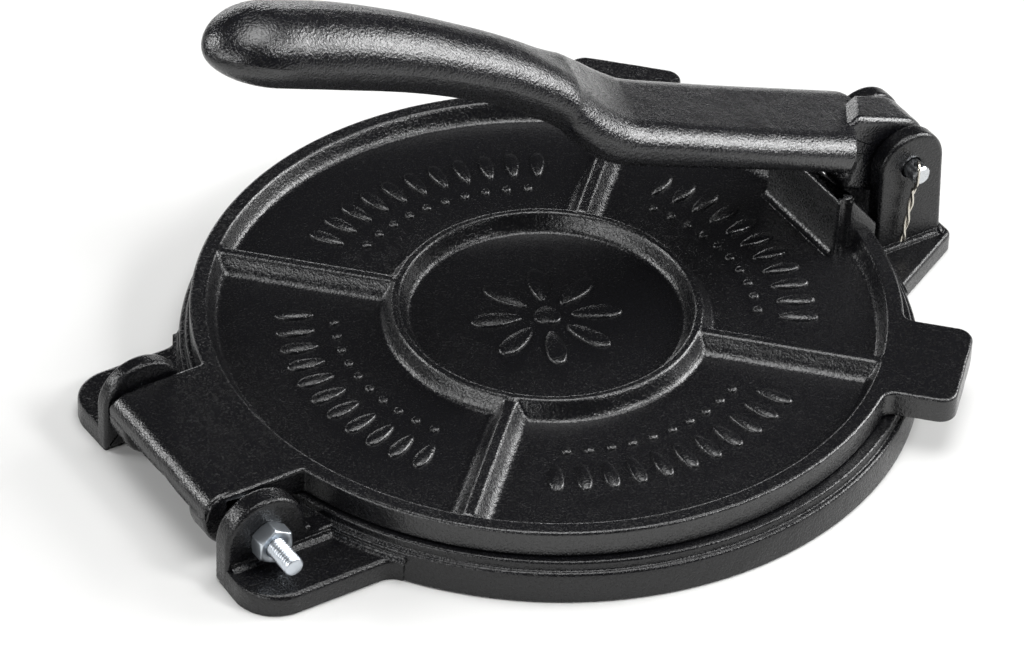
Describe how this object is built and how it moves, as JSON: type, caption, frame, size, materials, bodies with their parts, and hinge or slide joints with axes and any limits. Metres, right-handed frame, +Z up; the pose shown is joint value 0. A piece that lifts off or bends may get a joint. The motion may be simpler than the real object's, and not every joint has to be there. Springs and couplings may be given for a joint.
{
  "type": "tortilla press",
  "caption": "Round cast-iron press: a hinged upper plate closes on a flat base plate, and a pivoted lever on a post presses it down.",
  "frame": {"origin": "centre of the base disc on the plane it stands on", "axes": "+X from the hinge towards the lever post, +Z up, +Y completes a right-handed frame"},
  "size_m": [0.2606, 0.213, 0.1541],
  "materials": {
    "base_iron": "glossy black coating over cast texture",
    "plate_iron": "glossy black coating over cast texture",
    "lever_iron": "glossy black coating over coarse cast texture",
    "zinc_bolt": "bright zinc plating",
    "zinc_nut": "bright zinc plating",
    "zinc_pin": "bright zinc plating",
    "clip_wire": "bright drawn wire"
  },
  "bodies": {
    "base": {"base_plate": "base_iron", "hinge_bolt": "zinc_bolt", "hinge_nut": "zinc_nut", "lever_pin": "zinc_pin", "pin_clip": "clip_wire"},
    "plate": {"upper_plate": "plate_iron"},
    "arm": {"lever": "lever_iron"}
  },
  "joints": [
    {"name": "lever_swing", "type": "hinge", "parent": "base", "child": "arm", "pos_m": [0.1154, 0.0014, 0.034], "axis": [0, 1, 0], "range_deg": [0, 150]},
    {"name": "plate_hinge", "type": "hinge", "parent": "base", "child": "plate", "pos_m": [-0.1174, -0.0048, 0.0144], "axis": [0, -1, 0], "range_deg": [0, 110]}
  ],
  "couplings": [
    {"joint": "plate_hinge", "follows": "lever_swing", "ratio": 0.066}
  ]
}
